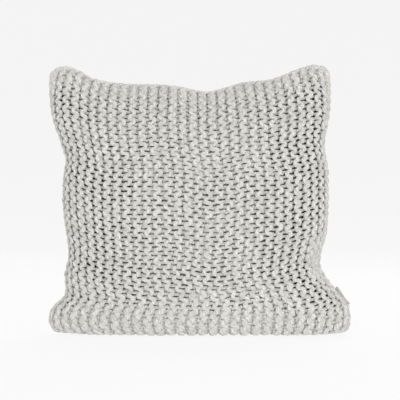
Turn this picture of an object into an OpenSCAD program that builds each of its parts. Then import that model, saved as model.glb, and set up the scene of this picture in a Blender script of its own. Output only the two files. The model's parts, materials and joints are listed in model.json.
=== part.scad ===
// Throw pillow: a chunky knitted cover with a lining and a zip, over a filled inner pad.
// It stands on its flat base. The front faces -Y, +X is to the right and +Z is up.
// The origin is the middle of the base.

/* [Pillow] */
// Width across the bottom corners
pillow_w = 484; // [450:1:510]
// Height from the base to the highest corner
pillow_h = 432; // [410:1:450]
// Depth at the fullest part, front to back
pillow_d = 180; // [170:1:200]

/* [Knitted cover] */
// Thickness of the knitted fabric
knit_t = 14; // [12:0.5:14]
// Distance from the middle plane to each panel at the seams
seam_gap = 5; // [4.5:0.5:6]
// Radius of the joining yarn in the seams
seam_r = 3.6; // [2.5:0.1:3.8]

/* [Zip] */
// Height of the zip above the base
zip_z = 70; // [65:1:80]
// Half length of the toothed part of the zip, measured across the pillow
zip_half = 148; // [130:1:148]
// Distance between neighbouring teeth of one row
tooth_pitch = 4; // [3:0.5:5]
// Half height of the slot that the knit leaves over the zip
slot_half = 8; // [7.5:0.5:10]

/* [Label] */
// Height of the middle of the side label above the base
label_z = 59; // [55:1:80]
// Length of the side label along the seam
label_len = 34; // [25:1:40]
// Width of the side label, from the seam to its fold
label_w = 17; // [12:1:20]

/* [Hidden] */

// Colours
yarn_grey = [0.80, 0.79, 0.76];
lining_grey = [0.36, 0.35, 0.33];
cotton_white = [0.93, 0.92, 0.90];
tape_grey = [0.70, 0.69, 0.66];
metal_grey = [0.60, 0.60, 0.60];

// Edges of the pillow seen from the front, at the nominal size: height, then position across
nominal_w = 484;
nominal_h = 432;
left_edge = [[0, -228], [20, -240], [40, -236], [60, -216], [95, -214], [130, -208], [200, -217],
    [250, -217], [280, -213], [310, -222], [345, -234], [400, -240], [430, -236]];
right_edge = [[0, 238], [20, 242], [45, 239], [65, 223], [105, 196], [130, 196], [165, 205],
    [255, 207], [305, 201], [345, 208], [395, 211], [430, 208]];
// Height of the top edge, from the left seam (-1) to the right seam (1)
top_edge = [[-1, 423], [-0.93, 430], [-0.82, 423], [-0.72, 411], [-0.5, 402], [-0.2, 400],
    [-0.08, 397], [0.13, 389], [0.4, 404], [0.6, 409], [0.82, 427], [0.93, 432], [1, 427]];
// How far the two bottom corners lift off the base
corner_lift = 6;

// Distances inwards from the outside of the knit to each layer
lining_out = knit_t + 2.6;
lining_in = lining_out + 1;
case_out = knit_t + 7;
case_in = case_out + 1.2;
filling_out = case_in + 0.8;
case_gap = 0.3;

// Rise of the fullest part, share of depth that rests on the base, and fullness of the lower back
full_at = 0.4;
base_share = 0.5;
fullness = 2.5;
edge_share = 0.06;

// Columns and rows of the soft surfaces
columns = 18;
face_rows = 14;
upper_rows = 11;
lower_rows = 5;
BASE = -1;
CREST = 9999;

function mix(a, b, t) = a + (b - a) * t;

// Smooth curve through points whose first value rises
function piece_at(p, x, i = 0) = (i >= len(p) - 2 || x < p[i + 1][0]) ? i : piece_at(p, x, i + 1);
function slope_at(p, i) =
    let (a = max(i - 1, 0), b = min(i + 1, len(p) - 1))
    (p[b][1] - p[a][1]) / (p[b][0] - p[a][0]);
function curve(p, x) =
    let (i = piece_at(p, x), h = p[i + 1][0] - p[i][0], t = (x - p[i][0]) / h,
         t2 = t * t, t3 = t2 * t)
    (2 * t3 - 3 * t2 + 1) * p[i][1] + (t3 - 2 * t2 + t) * h * slope_at(p, i)
    + (3 * t2 - 2 * t3) * p[i + 1][1] + (t3 - t2) * h * slope_at(p, i + 1);

// Outline of the layer that lies d inside the outer surface; u runs from -1 (left) to 1 (right)
function left_at(z) = curve(left_edge, z * nominal_h / pillow_h) * pillow_w / nominal_w;
function right_at(z) = curve(right_edge, z * nominal_h / pillow_h) * pillow_w / nominal_w;
function top_at(u, d) = curve(top_edge, u) * pillow_h / nominal_h - d;
function base_at(u, d) = corner_lift * pow(abs(u), 6) + d;
function across(u, z, d) = mix(left_at(z) + d, right_at(z) - d, (u + 1) / 2);

// Depth of the middle section at relative height n, from 0 at the base to 1 at the top
function fold_over(n) = sqrt(max(0, 1 - pow(n, 2)));
function bulge(n) = pow(max(0, 1 - pow(n, fullness)), 1 / fullness);
function section(n) =
    n < full_at ? mix(base_share, 1, bulge((full_at - n) / full_at))
                : fold_over((n - full_at) / (1 - full_at));
function spread(u) = mix(edge_share, 1, fold_over(abs(u)));
function rel_height(u, z, d) =
    min(1, max(0, (z - base_at(u, d)) / (top_at(u, d) - base_at(u, d))));
function depth_at(u, z, d) = spread(u) * section(rel_height(u, z, d)) * (pillow_d / 2 - seam_gap - d);

// One row of a soft surface is [share of the depth, low edge, high edge, place between them]
function row_z(u, d, row) = mix(
    row[1] == BASE ? base_at(u, d) : row[1],
    row[2] == CREST ? top_at(u, d) : row[2], row[3]);
function column_u(i, n, from, to) = mix(from, to, (1 - cos(180 * i / n)) / 2);
function surface_point(u, d, gap, side, row) =
    let (z = row_z(u, d, row))
    [across(u, z, d), side * (gap + row[0] * depth_at(u, z, d)), z];
function soft_grid(d, gap, side, rows, from = -1, to = 1, n = columns) =
    [for (row = rows) [for (i = [0:n]) surface_point(column_u(i, n, from, to), d, gap, side, row)]];

// Rows of each panel: the part under the base first, then up to the panel's upper edge
under_rows = [[0, BASE, CREST, 0], [0.5, BASE, CREST, 0]];
rows_face = [for (j = [0:face_rows]) [1, BASE, CREST, (1 - cos(180 * j / face_rows)) / 2]];
rows_front = concat(under_rows, rows_face);
function rows_lower(edge) = concat(under_rows,
    [for (j = [0:lower_rows]) [1, BASE, edge, 1 - cos(90 * j / lower_rows)]]);
function rows_upper(edge) =
    [for (j = [0:upper_rows]) [1, edge, CREST, sin(90 * j / upper_rows)]];

// The slot over the zip closes towards the side seams
slot_shut = 0.15;
function slot_at(u, slot) = abs(u) < slot[1] ? slot[0] : slot_shut;
function slotted_grid(d, gap, rows_of, sign, slot) =
    let (us = [for (i = [0:columns]) column_u(i, columns, -1, 1)],
         by_column = [for (u = us) let (rows = rows_of(zip_z + sign * slot_at(u, slot)))
             [for (row = rows) surface_point(u, d, gap, 1, row)]])
    [for (j = [0:len(by_column[0]) - 1]) [for (i = [0:columns]) by_column[i][j]]];

// Closed solid between two grids of the same size
function flat_list(grid) = [for (row = grid) for (p = row) p];
module between(first, second, flip = false) {
    n = len(first[0]);
    m = len(first);
    back = n * m;
    sheet = [for (j = [0:m - 2]) for (i = [0:n - 2])
        each [[j * n + i, j * n + i + 1, (j + 1) * n + i + 1],
              [j * n + i, (j + 1) * n + i + 1, (j + 1) * n + i]]];
    rim = concat([for (i = [0:n - 2]) i], [for (j = [0:m - 2]) j * n + n - 1],
                 [for (i = [n - 1:-1:1]) (m - 1) * n + i], [for (j = [m - 1:-1:1]) j * n]);
    rim_n = len(rim);
    walls = [for (k = [0:rim_n - 1]) let (a = rim[k], b = rim[(k + 1) % rim_n])
        each [[b, a, a + back], [b, a + back, b + back]]];
    far_sheet = [for (f = sheet) [f[2] + back, f[1] + back, f[0] + back]];
    all_faces = concat(sheet, walls, far_sheet);
    faces = flip ? [for (f = all_faces) [f[2], f[1], f[0]]] : all_faces;
    polyhedron(points = concat(flat_list(first), flat_list(second)), faces = faces);
}

module front_layer(d_out, d_in, gap, from = -1, to = 1) {
    between(soft_grid(d_out, gap, -1, rows_front, from, to),
            soft_grid(d_in, gap, -1, rows_front, from, to), true);
}
module back_layer(d_out, d_in, gap) {
    between(soft_grid(d_out, gap, 1, rows_front), soft_grid(d_in, gap, 1, rows_front));
}
module back_upper_layer(d_out, d_in, gap, slot) {
    rows = function (edge) rows_upper(edge);
    between(slotted_grid(d_out, gap, rows, 1, slot), slotted_grid(d_in, gap, rows, 1, slot));
}
module back_lower_layer(d_out, d_in, gap, slot) {
    rows = function (edge) rows_lower(edge);
    between(slotted_grid(d_out, gap, rows, -1, slot), slotted_grid(d_in, gap, rows, -1, slot));
}

// Tube along points that lie in the middle plane
tube_sides = 8;
function unit(v) = v / norm(v);
module flat_tube(path, r) {
    n = len(path);
    rings = [for (k = [0:n - 1])
        let (t = unit(path[min(k + 1, n - 1)] - path[max(k - 1, 0)]), side = [-t[2], 0, t[0]])
        [for (s = [0:tube_sides - 1]) let (a = 360 * s / tube_sides)
            path[k] + r * (cos(a) * side + sin(a) * [0, 1, 0])]];
    walls = [for (k = [0:n - 2]) for (s = [0:tube_sides - 1])
        let (a = k * tube_sides + s, b = k * tube_sides + (s + 1) % tube_sides)
        each [[a, b, b + tube_sides], [a, b + tube_sides, a + tube_sides]]];
    start = [for (s = [tube_sides - 1:-1:0]) s];
    end = [for (s = [0:tube_sides - 1]) (n - 1) * tube_sides + s];
    polyhedron(points = flat_list(rings), faces = concat(walls, [start, end]));
}

// ---- Knitted cover ----
// A slot is [half height, share of the half width up to which it is open]
slot_reach = 0.86;
knit_slot = [slot_half, slot_reach];
module knit_front() {
    color(yarn_grey) front_layer(0, knit_t, seam_gap);
}
module knit_back_upper() {
    color(yarn_grey) back_upper_layer(0, knit_t, seam_gap, knit_slot);
}
module knit_back_lower() {
    color(yarn_grey) back_lower_layer(0, knit_t, seam_gap, knit_slot);
}

// ---- Joining yarn in the four seams ----
seam_steps = 24;
seam_in = knit_t / 2;
seam_u = 0.9;
seam_low = 16;
seam_high = 392;
module top_seam() {
    path = [for (k = [0:seam_steps]) let (u = mix(-seam_u, seam_u, k / seam_steps),
        z = top_at(u, seam_in)) [across(u, z, seam_in), 0, z]];
    color(yarn_grey) flat_tube(path, seam_r);
}
module bottom_seam() {
    path = [for (k = [0:seam_steps]) let (u = mix(-seam_u, seam_u, k / seam_steps),
        z = base_at(u, seam_in)) [across(u, z, seam_in), 0, z]];
    color(yarn_grey) flat_tube(path, seam_r);
}
module side_seam(u) {
    path = [for (k = [0:seam_steps]) let (z = mix(seam_low, seam_high, k / seam_steps))
        [across(u, z, seam_in), 0, z]];
    color(yarn_grey) flat_tube(path, seam_r);
}
module side_seam_left() { side_seam(-1); }
module side_seam_right() { side_seam(1); }

// ---- Lining bag ----
lining_slot = [13, 0.9];
module lining_front() {
    color(lining_grey) front_layer(lining_out, lining_in, seam_gap);
}
module lining_back_upper() {
    color(lining_grey) back_upper_layer(lining_out, lining_in, seam_gap, lining_slot);
}
module lining_back_lower() {
    color(lining_grey) back_lower_layer(lining_out, lining_in, seam_gap, lining_slot);
}

// ---- Inner pad ----
pad_seam_r = 1.2;
pad_seam_in = case_out - 0.6 - pad_seam_r;
module pad_case_front() {
    color(cotton_white) front_layer(case_out, case_in, case_gap);
}
module pad_case_back() {
    color(cotton_white) back_layer(case_out, case_in, case_gap);
}
// The seam runs once round the casing's edge, with the same corners as the casing itself
module pad_case_seam() {
    d = pad_seam_in;
    function rim_point(u, row) = let (z = row_z(u, d, row)) [across(u, z, d), 0, z];
    last = len(rows_face) - 1;
    path = concat(
        [for (i = [0:columns - 1]) rim_point(column_u(i, columns, -1, 1), rows_face[0])],
        [for (j = [0:last - 1]) rim_point(1, rows_face[j])],
        [for (i = [columns:-1:1]) rim_point(column_u(i, columns, -1, 1), rows_face[last])],
        [for (j = [last:-1:1]) rim_point(-1, rows_face[j])]);
    color(cotton_white) flat_tube(path, pad_seam_r);
}
module pad_filling() {
    color("white") between(soft_grid(filling_out, case_gap, -1, rows_face),
                           soft_grid(filling_out, case_gap, 1, rows_face), true);
}

// ---- Zip: it follows an arc of a circle about a vertical axis in front of the pillow ----
zip_in = knit_t + 1;
zip_ease = 2.2;
function u_at(x, z, d) = 2 * (x - left_at(z) - d) / (right_at(z) - left_at(z) - 2 * d) - 1;
function zip_depth(x) = seam_gap + depth_at(u_at(x, zip_z, zip_in), zip_z, zip_in) - zip_ease;
tape_half = 171;
zip_mid_y = zip_depth(0);
zip_end_y = (zip_depth(tape_half) + zip_depth(-tape_half)) / 2;
zip_sag = zip_mid_y - zip_end_y;
zip_rho = (tape_half * tape_half + zip_sag * zip_sag) / (2 * zip_sag);
zip_axis_y = zip_mid_y - zip_rho;
zip_turn = asin(zip_half / zip_rho);
tape_turn = asin(tape_half / zip_rho);
// Angle that stays free between the slider and the end of the teeth
slider_margin = 0.9;
slider_turn = zip_turn - slider_margin;

tape_t = 1;
tape_h = 11;
tooth_h = 3.4;
tooth_t = 2.6;
tooth_len = 2.6;
stop_len = 3;
stop_t = 0.8;
// Half of the gap between the two rows, and the play between metal and tape
chain_gap = 0.45;
play = 0.05;

// Puts a shape drawn with +Y outwards and +X along the zip at one angle on the arc
module on_zip(turn, out = 0) {
    translate([0, zip_axis_y, zip_z])
        rotate([0, 0, -turn])
            translate([0, zip_rho + out, 0]) children();
}
module zip_tape(sign) {
    low = sign > 0 ? chain_gap : -tape_h;
    color(tape_grey)
        translate([0, zip_axis_y, zip_z])
            rotate([0, 0, 90 - tape_turn])
                rotate_extrude(angle = 2 * tape_turn, $fn = 360)
                    translate([zip_rho - tape_t / 2, low]) square([tape_t, tape_h - chain_gap]);
}
module zip_tape_upper() { zip_tape(1); }
module zip_tape_lower() { zip_tape(-1); }

// Each tooth grips the tape's edge from both sides
tooth_step = asin(tooth_pitch / zip_rho);
tooth_count = floor(2 * zip_turn / tooth_step);
module tooth(sign) {
    grip = (tooth_t - tape_t) / 2 - play;
    z0 = sign > 0 ? chain_gap : -chain_gap - tooth_h;
    for (face = [-1, 1])
        translate([-tooth_len / 2, face > 0 ? tape_t / 2 + play : -tape_t / 2 - play - grip, z0])
            cube([tooth_len, grip, tooth_h]);
}
module zip_teeth(sign) {
    color(metal_grey)
        for (k = [0:tooth_count - 1])
            on_zip((k - (tooth_count - 1) / 2) * tooth_step + sign * tooth_step / 4) tooth(sign);
}
module zip_teeth_upper() { zip_teeth(1); }
module zip_teeth_lower() { zip_teeth(-1); }

// A stop is a staple across both rows, at each end of the teeth
module zip_stop(turn) {
    stop_h = 2 * (chain_gap + tooth_h);
    color(metal_grey)
        on_zip(turn)
            for (face = [-1, 1])
                translate([-stop_len / 2, face > 0 ? tape_t / 2 + play : -tape_t / 2 - play - stop_t,
                           -stop_h / 2])
                    cube([stop_len, stop_t, stop_h]);
}
stop_margin = 0.35;
stop_turn = zip_turn + stop_margin;
module zip_top_stop() { zip_stop(stop_turn); }
module zip_bottom_stop() { zip_stop(-stop_turn); }

// Slider: two plates round the teeth, joined by a thin web that runs between the rows
slider_len = 15;
slider_h = 10;
slider_round = 16.4;
plate_t = 1.4;
plate_y = tooth_t / 2 + 0.5;
web_t = 0.5;
web_len = 5;
// Lugs that hold the puller's bar; parts of the slider sink into each other by the overlap
lug_t = 1.2;
lug_len = 3.2;
lug_gap = 3.6;
lug_above = 1.4;
bar_r = 0.8;
bar_y = plate_y + plate_t + 2.2;
overlap = 0.3;
module slider_plate(face) {
    start_y = face > 0 ? plate_y : -plate_y - plate_t;
    translate([0, start_y, 0])
        rotate([-90, 0, 0])
            linear_extrude(plate_t)
                intersection() {
                    square([slider_len, slider_h], center = true);
                    circle(d = slider_round, $fn = 64);
                }
}
module zip_slider() {
    color(metal_grey) on_zip(slider_turn) {
        slider_plate(1);
        slider_plate(-1);
        translate([-web_len / 2, -plate_y - overlap, -web_t / 2])
            cube([web_len, 2 * (plate_y + overlap), web_t]);
        for (side = [-1, 1])
            translate([-lug_len / 2, plate_y + plate_t - overlap, side * (lug_gap + lug_t) / 2 - lug_t / 2])
                cube([lug_len, bar_y - plate_y - plate_t + overlap + lug_above, lug_t]);
        translate([0, bar_y, -lug_gap / 2 - overlap])
            cylinder(r = bar_r, h = lug_gap + 2 * overlap, $fn = 48);
    }
}

// Puller: an eye round the slider's bar and a flat tab, lying along the zip
eye_bore = 0.87;
eye_r = 1.7;
eye_w = 3.2;
tab_len = 20;
tab_h = 7;
tab_t = 1.4;
neck_len = 5;
module zip_puller() {
    color(metal_grey) on_zip(slider_turn, bar_y) difference() {
        union() {
            translate([0, 0, -eye_w / 2]) cylinder(r = eye_r, h = eye_w, $fn = 48);
            translate([-neck_len - 1, -tab_t / 2, -eye_w / 2]) cube([neck_len + 1, tab_t, eye_w]);
            translate([-neck_len, tab_t / 2, 0]) rotate([90, 0, 0]) linear_extrude(tab_t) {
                translate([-tab_len + tab_h / 2, -tab_h / 2]) square([tab_len - tab_h / 2, tab_h]);
                translate([-tab_len + tab_h / 2, 0]) circle(d = tab_h, $fn = 48);
            }
        }
        translate([0, 0, -eye_w]) cylinder(r = eye_bore, h = 2 * eye_w, $fn = 48);
    }
}

// Rows of machine stitches that hold the tapes
stitch_len = 4.5;
stitch_pitch = 7;
stitch_r = 0.4;
stitch_z = 6.4;
module zip_stitching(sign) {
    step = asin(stitch_pitch / zip_rho);
    count = floor(2 * zip_turn / step);
    color(yarn_grey)
        for (k = [0:count - 1])
            on_zip((k - (count - 1) / 2) * step, tape_t / 2 + stitch_r + play)
                translate([-stitch_len / 2, 0, sign * stitch_z])
                    rotate([0, 90, 0]) cylinder(r = stitch_r, h = stitch_len, $fn = 16);
}
module zip_stitching_upper() { zip_stitching(1); }
module zip_stitching_lower() { zip_stitching(-1); }

// ---- Labels ----
// The side label is a folded strip sewn into the right seam above the bottom corner
label_layer = 0.6;
label_fold_r = 1.5 * label_layer;
label_tuck = 1;
label_lean = 74;
// Half of the stretch of seam that sets the label's slant
label_reach = 15;
label_slant = atan2(right_at(label_z - label_reach) - right_at(label_z + label_reach), 2 * label_reach);
module at_label() {
    translate([right_at(label_z), 0, label_z])
        rotate([0, -label_slant, 0]) children();
}
// Cross-section: a tucked end between the panels, then two layers that lean back to the fold
module label_section() {
    straight = label_w - label_fold_r;
    translate([-label_tuck, -label_fold_r]) square([label_tuck, 2 * label_fold_r]);
    circle(r = label_fold_r, $fn = 48);
    rotate(label_lean) {
        for (side = [-1, 1])
            translate([0, side * label_layer - label_layer / 2]) square([straight, label_layer]);
        translate([straight, 0]) difference() {
            circle(r = label_fold_r, $fn = 48);
            circle(r = label_fold_r - label_layer, $fn = 48);
            translate([-2 * label_fold_r, -label_fold_r]) square(2 * label_fold_r);
        }
    }
}
module side_label() {
    color(cotton_white) at_label()
        translate([0, 0, -label_len / 2]) linear_extrude(label_len) label_section();
}
label_stitches = 6;
label_thread_r = 0.35;
label_stitch_in = 2.5;
module label_stitching() {
    step = label_len / label_stitches;
    color(yarn_grey) at_label() rotate([0, 0, label_lean])
        for (k = [0:label_stitches - 1])
            translate([label_stitch_in, -label_fold_r - label_thread_r - play,
                       -label_len / 2 + (k + 0.2) * step])
                cylinder(r = label_thread_r, h = 0.6 * step, $fn = 16);
}
// The care label hangs inside the cover, between the lining and the pad
care_low = 100;
care_high = 150;
care_u = [0.45, 0.6];
care_in = lining_in + 1;
care_t = 0.6;
care_steps = 4;
module care_label() {
    rows = [for (j = [0:care_steps]) [1, care_low, care_high, j / care_steps]];
    color(cotton_white)
        between(soft_grid(care_in, seam_gap - 1, 1, rows, care_u[0], care_u[1], care_steps),
                soft_grid(care_in + care_t, seam_gap - 1, 1, rows, care_u[0], care_u[1], care_steps));
}

knit_front();
knit_back_upper();
knit_back_lower();
top_seam();
bottom_seam();
side_seam_left();
side_seam_right();
lining_front();
lining_back_upper();
lining_back_lower();
pad_case_front();
pad_case_back();
pad_case_seam();
pad_filling();
zip_tape_upper();
zip_tape_lower();
zip_teeth_upper();
zip_teeth_lower();
zip_top_stop();
zip_bottom_stop();
zip_slider();
zip_puller();
zip_stitching_upper();
zip_stitching_lower();
side_label();
label_stitching();
care_label();
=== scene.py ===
"""Throw pillow: a chunky garter-stitch cover, its lining, its zip and a filled inner pad.

Lengths are in millimetres in this file and turned into metres when a mesh is made.
X runs across the pillow, -Y comes out of its front and Z is up, as in the CAD model.
"""

import json
import math

import bmesh
import bpy
import numpy as np
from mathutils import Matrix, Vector


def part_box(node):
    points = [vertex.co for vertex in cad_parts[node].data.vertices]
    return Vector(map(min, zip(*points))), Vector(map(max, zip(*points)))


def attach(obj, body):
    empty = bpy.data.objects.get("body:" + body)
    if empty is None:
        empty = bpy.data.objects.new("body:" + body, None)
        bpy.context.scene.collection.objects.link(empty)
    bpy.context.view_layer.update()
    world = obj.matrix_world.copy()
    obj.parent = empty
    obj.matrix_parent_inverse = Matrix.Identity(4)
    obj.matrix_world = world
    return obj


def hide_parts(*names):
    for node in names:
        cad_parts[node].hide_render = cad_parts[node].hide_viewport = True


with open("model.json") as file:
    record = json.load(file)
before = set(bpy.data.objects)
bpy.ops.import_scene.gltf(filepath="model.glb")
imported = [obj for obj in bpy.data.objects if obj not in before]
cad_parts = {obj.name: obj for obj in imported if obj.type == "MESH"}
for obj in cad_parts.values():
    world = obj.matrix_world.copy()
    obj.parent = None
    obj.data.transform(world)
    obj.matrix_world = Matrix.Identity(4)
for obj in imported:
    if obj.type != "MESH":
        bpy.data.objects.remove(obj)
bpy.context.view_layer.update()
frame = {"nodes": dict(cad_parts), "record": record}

MM = 0.001

# -------- pillow form
WIDTH, HEIGHT, DEPTH = 484.0, 432.0, 180.0
# Edges seen from the front: height above the base, then position across
LEFT_EDGE = [(0, -228), (20, -240), (40, -236), (60, -216), (95, -214), (130, -208), (200, -217),
             (250, -217), (280, -213), (310, -222), (345, -234), (400, -240), (430, -236)]
RIGHT_EDGE = [(0, 238), (20, 242), (45, 239), (65, 223), (105, 196), (130, 196), (165, 205),
              (255, 207), (305, 201), (345, 208), (395, 211), (430, 208)]
# Height of the top edge, from the left seam (-1) to the right seam (1)
TOP_EDGE = [(-1, 423), (-0.93, 430), (-0.82, 423), (-0.72, 411), (-0.5, 402), (-0.2, 400),
            (-0.08, 397), (0.13, 389), (0.4, 404), (0.6, 409), (0.82, 427), (0.93, 432), (1, 427)]
CORNER_LIFT, CORNER_TURN = 3.5, 6  # how far, and how suddenly, the bottom corners leave the base
FULL_AT = 0.4  # share of the height at which the pillow is deepest
BASE_SHARE = 0.5  # depth of the base, as a share of the full depth
FULLNESS = 2.5  # how square the section is below there, where 2 is an ellipse
EDGE_SHARE = 0.06  # depth at the side seams, as a share of the full depth
FINE_ACROSS, FINE_UNDER, FINE_UP = 181, 24, 221  # points of a grid before it is made even


def curve(points, x):
    """Smooth curve through points whose first value rises."""
    px, py = np.array(points, float).T
    slope = np.empty(len(px))
    slope[1:-1] = (py[2:] - py[:-2]) / (px[2:] - px[:-2])
    slope[0] = (py[1] - py[0]) / (px[1] - px[0])
    slope[-1] = (py[-1] - py[-2]) / (px[-1] - px[-2])
    x = np.asarray(x, float)
    i = np.clip(np.searchsorted(px, x, side="right") - 1, 0, len(px) - 2)
    h = px[i + 1] - px[i]
    t = (x - px[i]) / h
    return ((2 * t**3 - 3 * t**2 + 1) * py[i] + (t**3 - 2 * t**2 + t) * h * slope[i]
            + (3 * t**2 - 2 * t**3) * py[i + 1] + (t**3 - t**2) * h * slope[i + 1])


def smoothstep(x, low, high):
    """0 below low and 1 above high, with a smooth turn between them."""
    t = np.clip((x - low) / (high - low), 0, 1)
    return t * t * (3 - 2 * t)


def mix(a, b, t):
    return a + (b - a) * t


def unit(vectors):
    return vectors / np.maximum(np.linalg.norm(vectors, axis=-1, keepdims=True), 1e-9)


def base_at(u, inset):
    return CORNER_LIFT * np.abs(u) ** CORNER_TURN + inset


def top_at(u, inset):
    return curve(TOP_EDGE, u) - inset


def outline(u, height, inset):
    """Points in the middle plane of the layer that lies inset below the outside of the knit.

    u is -1 at the left seam and 1 at the right seam, height is 0 at the base and 1 at the crest.
    """
    z = mix(base_at(u, inset), top_at(u, inset), height)
    x = mix(curve(LEFT_EDGE, z) + inset, curve(RIGHT_EDGE, z) - inset, (u + 1) / 2)
    return np.stack([x, np.zeros_like(z), z], -1)


def form_point(u, height, share, side, inset):
    """The same points out of the middle plane, by a share of the full depth.

    side is -1 for the front and 1 for the back.
    """
    points = outline(u, height, inset)
    low = (np.maximum(0, 1 - np.clip((FULL_AT - height) / FULL_AT, 0, 1) ** FULLNESS)) ** (1 / FULLNESS)
    high = np.sqrt(np.maximum(0, 1 - np.clip((height - FULL_AT) / (1 - FULL_AT), 0, 1) ** 2))
    section = np.where(height < FULL_AT, mix(BASE_SHARE, 1, low), high)
    spread = mix(EDGE_SHARE, 1, np.sqrt(np.maximum(0, 1 - u * u)))
    points[..., 1] = side * share * spread * section * (DEPTH / 2 - inset)
    return points


def even_rows(grid, axis, count):
    """Resamples a grid of points along an axis, evenly by length."""
    grid = np.moveaxis(grid, axis, 0)
    step = np.linalg.norm(np.diff(grid, axis=0), axis=-1)
    run = np.concatenate([np.zeros((1,) + step.shape[1:]), np.cumsum(step, 0)], 0)
    out = np.empty((count,) + grid.shape[1:])
    for j in range(grid.shape[1]):
        at = np.linspace(0, run[-1, j], count)
        for axis_i in range(3):
            out[:, j, axis_i] = np.interp(at, run[:, j], grid[:, j, axis_i])
    return np.moveaxis(out, 0, axis)


def form_grid(side, inset, across, along):
    """Grid [across][along] over one face, from the bottom seam under the base up to the crest."""
    u = -np.cos(np.linspace(0, math.pi, FINE_ACROSS))
    under = np.linspace(0, 1, FINE_UNDER, endpoint=False)
    up = (1 - np.cos(np.linspace(0, math.pi, FINE_UP))) / 2
    height = np.concatenate([np.zeros(len(under)), up])
    share = np.concatenate([under, np.ones(len(up))])
    uu, hh = np.meshgrid(u, height, indexing="ij")
    ss = np.broadcast_to(share, uu.shape)
    grid = form_point(uu, hh, ss, side, inset)
    grid = even_rows(grid, 0, across)
    return even_rows(grid, 1, along)


class Surface:
    """A face of the pillow as a smooth map from (q, p), both 0 to 1, to points and outward normals."""

    def __init__(self, grid, side):
        self.grid = grid
        normal = np.cross(np.gradient(grid, axis=0), np.gradient(grid, axis=1))
        self.normal = unit(normal * (1 if side < 0 else -1))

    def sample(self, q, p):
        n, m = self.grid.shape[:2]
        x, y = q * (n - 1), p * (m - 1)
        i = np.clip(np.floor(x).astype(int), 0, n - 2)
        j = np.clip(np.floor(y).astype(int), 0, m - 2)
        fx, fy = (x - i)[..., None], (y - j)[..., None]

        def blend(a):
            return mix(mix(a[i, j], a[i + 1, j], fx), mix(a[i, j + 1], a[i + 1, j + 1], fx), fy)

        return blend(self.grid), unit(blend(self.normal))


# -------- meshes
def add_object(name, data):
    obj = bpy.data.objects.new(name, data)
    bpy.context.scene.collection.objects.link(obj)
    return obj


def shade_smooth(mesh):
    mesh.polygons.foreach_set("use_smooth", np.ones(len(mesh.polygons), bool))


def new_mesh(name, points, faces, attributes=()):
    """An object from points in millimetres and quads or triangles, with point attributes.

    An attribute is one number or three for each point.
    """
    mesh = bpy.data.meshes.new(name)
    faces = np.asarray(faces, np.int32)
    sides = faces.shape[1]
    mesh.vertices.add(len(points))
    mesh.vertices.foreach_set("co", (np.asarray(points) * MM).astype(np.float32).ravel())
    mesh.loops.add(faces.size)
    mesh.loops.foreach_set("vertex_index", faces.ravel())
    mesh.polygons.add(len(faces))
    mesh.polygons.foreach_set("loop_start", np.arange(0, faces.size, sides, dtype=np.int32))
    mesh.update(calc_edges=True)
    mesh.validate()
    shade_smooth(mesh)
    for key, values in attributes:
        kind, field = ("FLOAT", "value") if np.ndim(values) == 1 else ("FLOAT_VECTOR", "vector")
        data = mesh.attributes.new(key, kind, "POINT").data
        data.foreach_set(field, np.asarray(values, np.float32).ravel())
    return add_object(name, mesh)


YARN_START = 97.0  # each row shows another stretch of the yarn's fibres


def tubes(paths, normals, flat, tall, sides, plies, ply_depth, ply_turn):
    """Closed tubes along many equally long paths [row][step][xyz], with flat ends.

    flat and tall are the half widths across and along the given normals. The plies show as lobes
    that turn once in a length of ply_turn. Returns points, quads, the ply of each point, from -1 in
    a groove to 1 on a ply, and its place in the untwisted yarn, with Z along it.
    """
    rows, steps = paths.shape[:2]
    tangent = unit(np.gradient(paths, axis=1))
    up = unit(normals - (normals * tangent).sum(-1, keepdims=True) * tangent)
    across = np.cross(tangent, up)
    angle = np.linspace(0, 2 * math.pi, sides, endpoint=False)
    along = np.cumsum(np.linalg.norm(np.diff(paths, axis=1, prepend=paths[:, :1]), axis=-1), 1)
    fibre = angle[None, None, :] - (along * 2 * math.pi / ply_turn)[..., None]
    ply = np.cos(plies * fibre)
    start_at = np.arange(rows)[:, None, None] * YARN_START
    place = np.stack([flat[..., None] * np.cos(fibre), flat[..., None] * np.sin(fibre),
                      along[..., None] + start_at + 0 * fibre], -1)
    ring = (np.cos(angle)[:, None] * (flat[..., None, None] * across[..., None, :])
            + np.sin(angle)[:, None] * (tall[..., None, None] * up[..., None, :]))
    points = paths[..., None, :] + ring * (1 + ply_depth * ply)[..., None]
    start = (np.arange(rows) * steps * sides)[:, None, None]
    step = (np.arange(steps - 1) * sides)[None, :, None]
    a = start + step + np.arange(sides)[None, None, :]
    b = start + step + (np.arange(sides) + 1)[None, None, :] % sides
    walls = np.stack([a, a + sides, b + sides, b], -1).reshape(-1, 4)
    j = np.arange(sides // 2 - 1)
    end = np.stack([j, j + 1, sides - 2 - j, sides - 1 - j], -1)[None]
    first = (start + end).reshape(-1, 4)
    last = (start + (steps - 1) * sides + end[..., ::-1]).reshape(-1, 4)
    quads = np.concatenate([walls, first[:, ::-1], last[:, ::-1]])
    return points.reshape(-1, 3), quads, ply.ravel(), place.reshape(-1, 3)


def yarn_mesh(name, tube, height):
    """An object from what tubes() gives, with the height that each point is shaded by."""
    points, quads, ply, place = tube
    return new_mesh(name, points, quads, [("yarn_ply", ply), ("yarn_shade_height", height), ("yarn_place", place)])


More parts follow.
